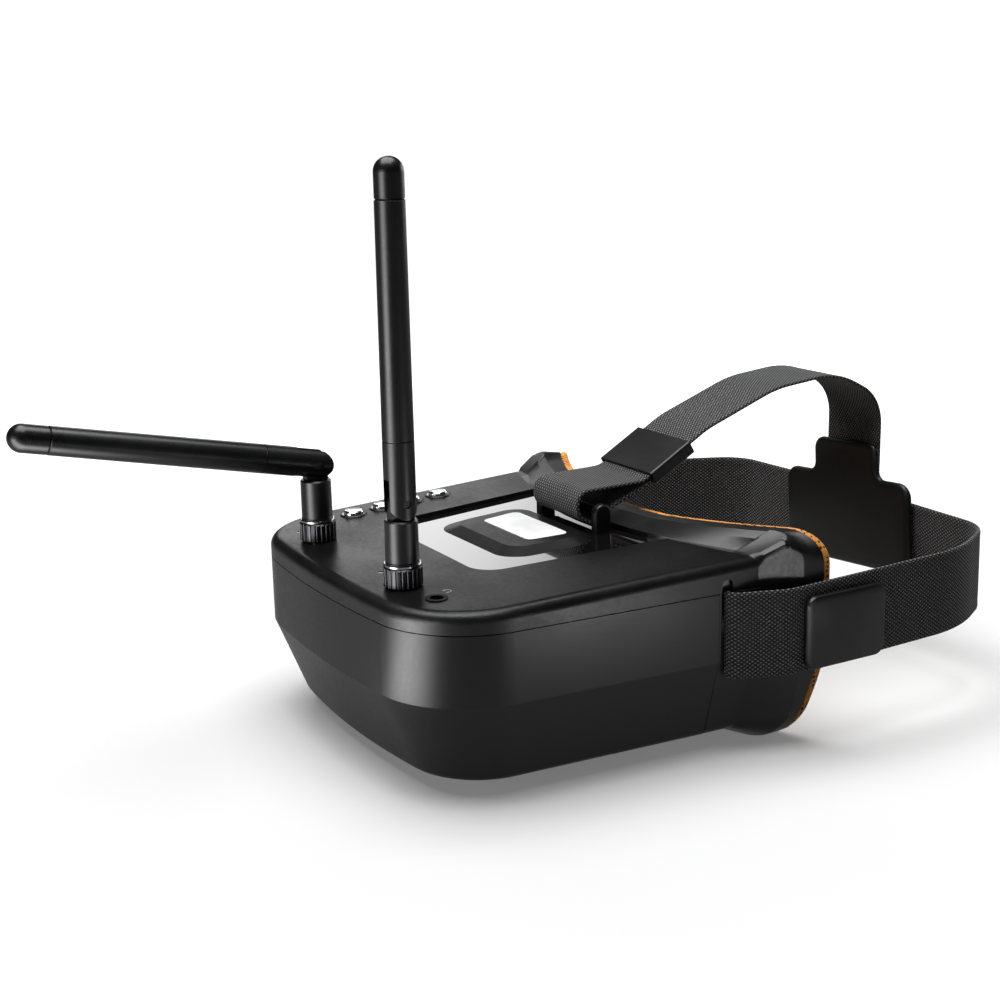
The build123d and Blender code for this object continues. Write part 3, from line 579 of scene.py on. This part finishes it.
def slot_outline():
    """Strap slot seen from the side, as (y, z)."""
    low, high = SLOT_Y
    bottom, top = SLOT_Z
    corners = [(low, top, 1.2), (high, top, 1.2), (high, bottom, 1.2), (low, bottom, 1.2)]
    return rounded(corners, closed=True, per_arc=4, per_run=2)


def slab(name, outline, thickness, edge, finish):
    """A plate in the Y-Z plane from x 0 to thickness with rounded edges."""
    layers = [(0.0, edge), (edge * 0.3, edge * 0.3), (edge, 0.0)] if edge else [(0.0, 0.0)]
    layers += [(thickness - x, pull) for x, pull in reversed(layers)]
    middle = sum((Vector(p) for p in outline), Vector((0, 0))) / len(outline)
    half_size = max((p - middle).length for p in outline)
    vertices = []
    for x, pull in layers:
        for p in outline:
            q = p - (p - middle) * (pull / half_size) * 1.25
            vertices.append((x, q.x, q.y))
    faces = ring_faces(len(layers), len(outline), closed_rows=False)
    last = (len(layers) - 1) * len(outline)
    faces.append(tuple(range(len(outline))))
    faces.append(tuple(range(last, last + len(outline))))
    return mesh_object(name, vertices, faces, finish, sharp=0.7)


def make_shroud():
    """Smoothly flared shroud, one closed skin, with the two strap slots cut through its sides."""
    rows = shroud_rows()
    vertices = [point for row in rows for point in row]
    faces = ring_faces(len(rows), len(rows[0]), closed_rows=True)
    shroud = mesh_object("shroud", vertices, faces, finishes["satin_black"], sharp=0.5)
    for side in (-1, 1):
        cutter = slab("slot_cutter", slot_outline(), 6.0, 0.0, finishes["satin_black"])
        cutter.matrix_world = Matrix.Translation(at(side * 64.0 - 3.0, 0, 0) - at(0, 0, 0))
        cut = shroud.modifiers.new("slot", "BOOLEAN")
        cut.object = cutter
        cut.operation = "DIFFERENCE"
        cut.solver = "EXACT"
        cut.use_self = True
        bpy.context.view_layer.update()
        apply_modifiers(shroud)
        bpy.data.objects.remove(cutter)
    dress(shroud, "housing", "satin_black", "face_shroud")


def make_foam():
    """Foam ring on the shroud's rim, with soft shoulders."""
    section = [(0.3, 0.05), (0.15, 0.7), (0.15, 1.6), (0.5, 2.35), (1.2, 2.6), (5.0, 2.6), (9.0, 2.6),
               (10.6, 2.5), (11.2, 2.1), (11.4, 0.9), (11.3, 0.05)]
    vertices = []
    for pull, rise in section:
        for p in rounded(inset(both_halves(rim_half), pull), closed=True):
            vertices.append((p.x, rim_y(p.x, p.y) - FOAM_T + rise, p.y))
    columns = len(vertices) // len(section)
    foam = mesh_object("foam", vertices, ring_faces(len(section), columns, True), finishes["orange_foam"])
    dress(foam, "housing", "orange_foam", "face_foam")


make_shroud()
make_foam()


# ---- webbing ---------------------------------------------------------------------------------
def ribbon(name, path, width_axis, width, thickness, finish):
    """Flat webbing along a path, with thin rounded selvedges and its weave laid out in metres."""
    axis = Vector(width_axis).normalized()
    half, thin = width / 2, thickness / 2
    across = [-half, -half + 0.25, -half + 0.9, -half + 1.8, -half / 2, 0.0,
              half / 2, half - 1.8, half - 0.9, half - 0.25, half]
    bulk = [0.35, 0.75, 0.95, 0.8, 0.85, 0.85, 0.85, 0.8, 0.95, 0.75, 0.35]
    outline = [(a, thin * b) for a, b in zip(across, bulk)]
    outline += [(a, -thin * b) for a, b in reversed(list(zip(across, bulk)))]
    vertices = []
    travelled = [0.0]
    for i, point in enumerate(path):
        ahead = path[min(i + 1, len(path) - 1)] - path[max(i - 1, 0)]
        normal = ahead.normalized().cross(axis).normalized()
        vertices += [tuple(point + axis * a + normal * n) for a, n in outline]
        if i:
            travelled.append(travelled[-1] + (point - path[i - 1]).length)
    columns = len(outline)
    faces = []
    uvs = []
    for i in range(len(path) - 1):
        for j in range(columns):
            k = (j + 1) % columns
            faces.append((i * columns + j, i * columns + k, (i + 1) * columns + k, (i + 1) * columns + j))
            a, b = outline[j][0] * MM, outline[k][0] * MM
            u, v = travelled[i] * MM, travelled[i + 1] * MM
            uvs += [(u, a), (u, b), (v, b), (v, a)]
    for first in (0, (len(path) - 1) * columns):
        faces.append(tuple(range(first, first + columns)))
        uvs += [(0.0, a * MM) for a, _ in outline]
    data = bpy.data.meshes.new(name)
    data.from_pydata([at(*v) for v in vertices], [], faces)
    layer = data.uv_layers.new(name="UVMap")
    for loop, uv in zip(layer.data, uvs):
        loop.uv = uv
    data.shade_smooth()
    data.set_sharp_from_angle(angle=0.9)
    data.materials.append(finish)
    piece = bpy.data.objects.new(name, data)
    bpy.context.scene.collection.objects.link(piece)
    return piece


WEB_W = 24.0
WEB_T = 1.2
STRAP_Z = 18.2
STRAP_TILT = math.radians(1.1)
SLOT_MID_Y = (SLOT_Y[0] + SLOT_Y[1]) / 2
BACK_Y = 156.6
SIDE_ROUTE = [(57.5, SLOT_MID_Y, 0.0), (64.0, 55.9, 3.0), (70.0, 70.0, 16.0), (69.2, 133.0, 40.0),
              (57.0, 154.2, 14.0)]


def strap_point(p):
    """A point on the middle of the tilted side strap from its plan position."""
    back = p.y - SLOT_MID_Y
    rise = STRAP_Z + WEB_W / 2 * math.cos(STRAP_TILT) + back * math.sin(STRAP_TILT)
    return Vector((p.x, SLOT_MID_Y + back * math.cos(STRAP_TILT) - WEB_W / 2 * math.sin(STRAP_TILT), rise))


STRAP_AXIS = (0.0, -math.sin(STRAP_TILT), math.cos(STRAP_TILT))


def make_head_strap():
    """Side straps and back in one length."""
    route = SIDE_ROUTE + [(0.0, BACK_Y, 400.0)] + [(-x, y, r) for x, y, r in reversed(SIDE_ROUTE)]
    path = [strap_point(p) for p in rounded(route, per_arc=14, per_run=10)]
    strap = ribbon("head_strap_web", path, STRAP_AXIS, WEB_W, WEB_T, finishes["webbing"])
    dress(strap, "housing", "webbing", "head_strap")


SLIDER_FROM = Vector((66.14, 61.55))
SLIDER_TO = Vector((79.64, 69.25))
LAYER = 0.65


def slider_point(distance, off):
    """Point in the Y-Z plane, distance along the slider from its front and off its axis."""
    along = (SLIDER_TO - SLIDER_FROM).normalized()
    across = Vector((-along.y, along.x))
    return tuple(SLIDER_FROM + along * distance + across * off)


def make_top_strap():
    """From the free end inside the slider, round the bracket, back through the slider and to the pad."""
    length = (SLIDER_TO - SLIDER_FROM).length
    route = [
        (*slider_point(length - 1.5, -LAYER), 0.0),
        (*slider_point(-3.0, -LAYER), 20.0),
        (51.8, 54.6, 10.0),
        (47.9, 50.2, 2.2),
        (41.0, 53.4, 4.0),
        (41.0, 60.6, 3.6),
        (*slider_point(-2.4, LAYER), 8.0),
        (*slider_point(length + 8.0, LAYER), 30.0),
        (112.0, 83.0, 40.0),
        (136.0, 85.2, 30.0),
        (154.2, 75.5, 14.0),
        (154.3, 42.0, 0.0),
    ]
    path = [Vector((0.0, p.x, p.y)) for p in rounded(route, per_arc=12, per_run=8)]
    strap = ribbon("top_strap_web", path, (1, 0, 0), WEB_W, WEB_T - 0.1, finishes["webbing"])
    dress(strap, "housing", "webbing", "top_strap")


make_head_strap()
make_top_strap()


# ---- plates and pad --------------------------------------------------------------------------
PLATE_Y = (73.6, 100.9)
PLATE_Z_HALF = 10.2
PLATE_RISE = 11.4
PLATE_T = 2.2
PLATE_X = 70.1


def make_plates():
    """Side plates with rounded edges."""
    low, high = PLATE_Y
    middle_z = STRAP_Z + PLATE_RISE
    bottom, top = middle_z - PLATE_Z_HALF, middle_z + PLATE_Z_HALF
    corners = [(low, top, 3.0), (high, top, 3.0), (high, bottom, 3.0), (low, bottom, 3.0)]
    outline = rounded(corners, closed=True, per_arc=8, per_run=4)
    made = []
    for side, label in ((1, "left"), (-1, "right")):
        plate = slab("strap_plate_" + label, outline, PLATE_T, 0.8, finishes["hardware_black"])
        move = at(side * (PLATE_X + WEB_T / 2), 0, 0) - at(0, 0, 0)
        for vertex in plate.data.vertices:
            vertex.co.x = vertex.co.x * side + move.x
        if side < 0:
            plate.data.flip_normals()
        dress(plate, "housing", "hardware_black")
        made.append(plate)
    return made


plates = make_plates()
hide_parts("strap_plates")

PAD_BACK_Y = 153.7
PAD_TILT = math.radians(4.0)
PAD_PIVOT = Vector((0.0, 36.0))


def make_pad():
    """The back pad: a stepped, cushioned plate between the straps."""
    half = [(14.5, 60.0, 4.0), (14.5, 48.6, 3.0), (28.5, 48.6, 4.5), (28.5, 19.5, 4.0)]
    corners = both_halves(half)
    layers = [(0.0, 1.1), (0.25, 0.45), (0.8, 0.0), (1.5, 0.0), (2.05, 0.4), (2.3, 1.0), (2.4, 2.4),
              (2.4, 6.5)]
    vertices = []
    for depth, pull in layers:
        for p in rounded(inset(corners, pull), closed=True, per_arc=8, per_run=6):
            q = Matrix.Rotation(PAD_TILT, 2) @ (p - PAD_PIVOT) + PAD_PIVOT
            vertices.append((q.x, PAD_BACK_Y - depth, q.y))
    columns = len(vertices) // len(layers)
    faces = ring_faces(len(layers), columns, closed_rows=False)
    last = (len(layers) - 1) * columns
    faces.append(tuple(range(columns)))
    faces.append(tuple(range(last, last + columns)))
    pad = mesh_object("back_pad_cushion", vertices, faces, finishes["pad_black"], sharp=0.8)
    dress(pad, "housing", "pad_black", "back_pad")


make_pad()


# ---- polished panels of the lid --------------------------------------------------------------
SKIN = 0.04


def make_panel(name, corners, rise):
    """A thin polished skin parallel to the lid's sloping plane, rise above it."""
    outline = rounded(corners, closed=True)
    vertices = []
    for lift in (rise - 0.2, rise + SKIN):
        vertices += [(p.x, p.y, TOP_Z + TOP_SLOPE * p.y + lift) for p in outline]
    count = len(outline)
    faces = ring_faces(2, count, closed_rows=False)
    faces += [tuple(range(count)), tuple(range(count, 2 * count))]
    panel = mesh_object(name, vertices, faces, mirror_black)
    dress(panel, "housing", "satin_black")


moat = [(-29.8, -1.0, 8.0), (-34.9, 55.0, 1.0), (-12.0, 50.6, 1.0), (12.0, 50.6, 1.0), (34.9, 55.0, 1.0),
        (29.8, -1.0, 8.0)]
make_panel("moat_floor_skin", moat, -0.6)


# ---- small marks and rings -------------------------------------------------------------------
def make_headphone_mark():
    """A plain headphone symbol printed beside the socket."""
    centre_x, centre_y = 37.2, -15.0
    vertices = []
    faces = []

    def patch(points):
        first = len(vertices)
        for x, y in points:
            vertices.append((x, y, top_height(x, y) + 0.02))
        faces.append(tuple(range(first, first + len(points))))

    outer, inner = 1.15, 0.9
    for i in range(12):
        a, b = math.pi * i / 12, math.pi * (i + 1) / 12
        patch([
            (centre_x + outer * math.cos(a), centre_y + outer * math.sin(a)),
            (centre_x + outer * math.cos(b), centre_y + outer * math.sin(b)),
            (centre_x + inner * math.cos(b), centre_y + inner * math.sin(b)),
            (centre_x + inner * math.cos(a), centre_y + inner * math.sin(a)),
        ])
    for side in (-1, 1):
        x = centre_x + side * 0.95
        near, far = x - 0.28, x + 0.28
        patch([(near, centre_y - 0.75), (far, centre_y - 0.75), (far, centre_y), (near, centre_y)])
    mark = mesh_object("headphone_mark", vertices, faces, mark_print)
    dress(mark, "housing", "label_white")


def lathe(section, turns, spot):
    """Points of a turned section of (radius, rise), each put in place by spot(x, y, rise)."""
    angles = [math.tau * i / turns for i in range(turns)]
    return [
        spot(radius * math.cos(a), radius * math.sin(a), rise) for radius, rise in section for a in angles
    ]


ANTENNA_X = 26.8
ANTENNA_Y = -22.15


def make_antenna_rings():
    """A thin polished ring above each nut."""
    nut_top = (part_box("left_antenna_nut")[1][2] - ORIGIN.z) / MM
    section = [(4.45, 0.1), (4.75, 0.1), (4.9, 0.3), (4.9, 0.75), (4.75, 0.95), (4.45, 0.95)]
    for side, label in ((1, "left"), (-1, "right")):
        middle_x = side * ANTENNA_X
        vertices = lathe(section, 64, lambda x, y, rise: (middle_x + x, ANTENNA_Y + y, nut_top + rise))
        faces = ring_faces(len(section), 64, closed_rows=True)
        ring = mesh_object("antenna_ring_" + label, vertices, faces, polished_ring)
        dress(ring, label + "_antenna_foot", "nut_black_chrome")


BUTTON_R = 2.9
BUTTON_PROUD = 1.42
COVER = 0.03
CAP_SECTION = [(BUTTON_R - 0.05, -0.8), (BUTTON_R - 0.02, 0.95), (BUTTON_R - 0.15, 1.25),
               (BUTTON_R - 0.4, BUTTON_PROUD),
               (BUTTON_R - 0.6, 1.36), (BUTTON_R - 0.8, 1.3), (1.4, 1.28), (0.5, 1.28)]


def button_place(number):
    """Middle of a button cap's box, and its top, in housing millimetres."""
    low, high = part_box("button_cap_%d" % number)
    return ((Vector(low) + Vector(high)) / 2 - ORIGIN) / MM, (high[2] - ORIGIN.z) / MM


def make_button_skins():
    """A smooth polished skin on each button cap: a rounded rim round a shallow dish."""
    turns = 48
    section = [(radius + COVER, rise + COVER) for radius, rise in CAP_SECTION]
    for number in range(1, 5):
        middle, top = button_place(number)
        foot = top - BUTTON_PROUD
        vertices = lathe(section, turns, lambda x, y, rise: (middle.x + x, middle.y + y, foot + rise))
        faces = ring_faces(len(section), turns, closed_rows=False)
        faces += [tuple(range(turns)), tuple(range(len(vertices) - turns, len(vertices)))]
        skin = mesh_object("button_skin_%d" % number, vertices, faces, finishes["button_chrome"], sharp=0.9)
        dress(skin, "button_%d" % number, "button_chrome")


BEZEL_SECTION = [(3.1, -0.1), (3.1, 0.2), (3.4, 0.42), (3.8, 0.36), (4.05, 0.12), (4.1, -0.1)]


def make_button_bezels():
    """A raised glossy ring on the lid round each button."""
    turns = 64
    for number in range(1, 5):
        middle, _ = button_place(number)

        def on_lid(x, y, rise):
            return middle.x + x, middle.y + y, top_height(middle.x + x, middle.y + y) + rise

        vertices = lathe(BEZEL_SECTION, turns, on_lid)
        faces = ring_faces(len(BEZEL_SECTION), turns, closed_rows=True)
        bezel = mesh_object("button_bezel_%d" % number, vertices, faces, finishes["satin_black"], sharp=0.9)
        dress(bezel, "housing", "satin_black")


make_headphone_mark()
make_antenna_rings()
make_button_skins()
make_button_bezels()


# ---- floor, light ----------------------------------------------------------------------------
FLOOR_HALF = 14.0
FLOOR_GLOW = (0.16, 1.0)
GLOW_REACH = (0.08, 0.60)
# Painted glow seen only in reflections: a strip in front of the housing and a patch beside it, which give its
# near corner and side facet their highlights.
FRONT_GLOW_STRIP = (math.radians(10), math.radians(27), 8.5)
STRIP_FROM = (0.085, 0.13)
SIDE_GLOW_PATCH = ((232, 80), 70, 10.0)
FLOOR_REFLECTED_GLOW = 0.16


def floor_glow_in_reflections(tree, place_on_floor):
    """What reflections see of the floor: a painted glow, dim, with a bright strip in front and a patch
    beside, which the housing reflects as highlights on its near corner and side facet.
    """
    parts = add_node(tree, "ShaderNodeSeparateXYZ", {"Vector": place_on_floor})
    azimuth = maths(tree, "ARCTAN2", parts.outputs["X"], maths(tree, "MULTIPLY", parts.outputs["Y"], -1.0))
    aim, half_width_angle, strip_glow = FRONT_GLOW_STRIP
    off = maths(tree, "ABSOLUTE", maths(tree, "SUBTRACT", azimuth, aim))
    outwards = add_node(tree, "ShaderNodeVectorMath", {0: place_on_floor}, operation="LENGTH")
    strip = maths(tree, "MULTIPLY", ramp(tree, off, 0.0, half_width_angle, strip_glow, 0.0),
                  ramp(tree, outwards.outputs["Value"], *STRIP_FROM))
    (patch_x, patch_y), reach, patch_glow = SIDE_GLOW_PATCH
    middle = tuple(at(patch_x, patch_y, 0))[:2] + (0.0,)
    away = add_node(tree, "ShaderNodeVectorMath", {0: place_on_floor, 1: middle}, operation="DISTANCE")
    patch = ramp(tree, away.outputs["Value"], 0.0, reach * MM, patch_glow, 0.0)
    return maths(tree, "ADD", maths(tree, "ADD", strip, patch), FLOOR_REFLECTED_GLOW)


def make_floor():
    """A plain pale floor with a painted glow for the camera, weaker near the object so the floor reads darker
    round it, brightening to white away from it; other rays see it darker, as painted shade.
    """
    data = bpy.data.meshes.new("floor")
    corners = [(-FLOOR_HALF, -FLOOR_HALF, 0), (FLOOR_HALF, -FLOOR_HALF, 0), (FLOOR_HALF, FLOOR_HALF, 0),
               (-FLOOR_HALF, FLOOR_HALF, 0)]
    data.from_pydata(corners, [], [(0, 1, 2, 3)])
    floor = bpy.data.objects.new("floor", data)
    floor.location.z = FLOOR_Z
    mat, tree, shader = new_material("floor_white")
    spot = place(tree)
    path = add_node(tree, "ShaderNodeLightPath").outputs
    camera_ray, glossy_ray = path["Is Camera Ray"], path["Is Glossy Ray"]
    distance = add_node(tree, "ShaderNodeVectorMath", {0: spot}, operation="LENGTH").outputs["Value"]
    # Painted glow: the camera sees the floor glow, dim near the object and full further out.
    seen_glow = ramp(tree, distance, *GLOW_REACH, *FLOOR_GLOW)
    seen = maths(tree, "MULTIPLY", camera_ray, seen_glow)
    reflected = maths(tree, "MULTIPLY", glossy_ray, floor_glow_in_reflections(tree, spot))
    tree.links.new(maths(tree, "ADD", seen, reflected), shader.inputs["Emission Strength"])
    shade = mix(tree, noise(tree, 3.0), (0.80, 0.80, 0.80), (0.83, 0.83, 0.83))
    # Painted shade: rays other than the camera's see a dark floor colour (0.22) instead of the pale one,
    # which dims the floor's bounce light and reflections on the housing.
    tree.links.new(mix(tree, camera_ray, (0.22, 0.22, 0.22), shade), shader.inputs["Base Color"])
    shader.inputs["Roughness"].default_value = 0.9
    shader.inputs["Specular IOR Level"].default_value = 0.0
    shader.inputs["Emission Color"].default_value = (1.0, 1.0, 1.0, 1.0)
    data.materials.append(mat)
    bpy.context.scene.collection.objects.link(floor)


def area_light(name, spot, target, width, height, power):
    """A soft box at spot, aimed at target, both in housing millimetres."""
    data = bpy.data.lights.new(name, "AREA")
    data.shape = "RECTANGLE"
    data.size = width * MM
    data.size_y = height * MM
    data.energy = power
    light = bpy.data.objects.new(name, data)
    light.location = at(*spot)
    light.rotation_euler = (at(*target) - at(*spot)).to_track_quat("-Z", "Y").to_euler()
    bpy.context.scene.collection.objects.link(light)


WORLD_DIM = 0.03
CARD_EDGE, CARD_CORE, CARD_GLOW = 0.974, 0.9995, 2.0
WHITE_CARD = tuple(Vector((-0.93, 0.376, 0.28)).normalized())


def make_world():
    """Studio surround: white behind the object, in reflections dim with one bright patch behind it."""
    world = bpy.data.worlds.new("studio")
    world.use_nodes = True
    tree = world.node_tree
    background = tree.nodes["Background"]
    direction = add_node(tree, "ShaderNodeTexCoord").outputs["Generated"]
    towards = add_node(tree, "ShaderNodeVectorMath", {0: direction, 1: WHITE_CARD}, operation="DOT_PRODUCT")
    card = ramp(tree, towards.outputs["Value"], CARD_EDGE, CARD_CORE, WORLD_DIM, CARD_GLOW)
    camera_ray = add_node(tree, "ShaderNodeLightPath").outputs["Is Camera Ray"]
    seen = maths(tree, "MULTIPLY", camera_ray, 1.05)
    reflected = maths(tree, "MULTIPLY", maths(tree, "SUBTRACT", 1.0, camera_ray), card)
    tree.links.new(maths(tree, "ADD", seen, reflected), background.inputs["Strength"])
    background.inputs["Color"].default_value = (1.0, 1.0, 1.0, 1.0)
    bpy.context.scene.world = world




def studio_card(name, azimuth, height, distance, width, tall, power):
    """A soft box round the housing's middle; azimuth 0 is in front, 90 on the wearer's left."""
    turn = math.radians(azimuth)
    spot = (distance * math.sin(turn), -distance * math.cos(turn), height)
    area_light(name, spot, (0, 15, 28), width, tall, power)


make_floor()
make_world()
bpy.context.scene.view_settings.view_transform = "Standard"
area_light("top_soft", (-50, -30, 640), (0, 30, 30), 560, 560, 5.2)
studio_card("front_card", 10, 160, 700, 500, 260, 0.5)
studio_card("back_card", 195, 260, 800, 600, 300, 1.4)

bpy.context.view_layer.update()
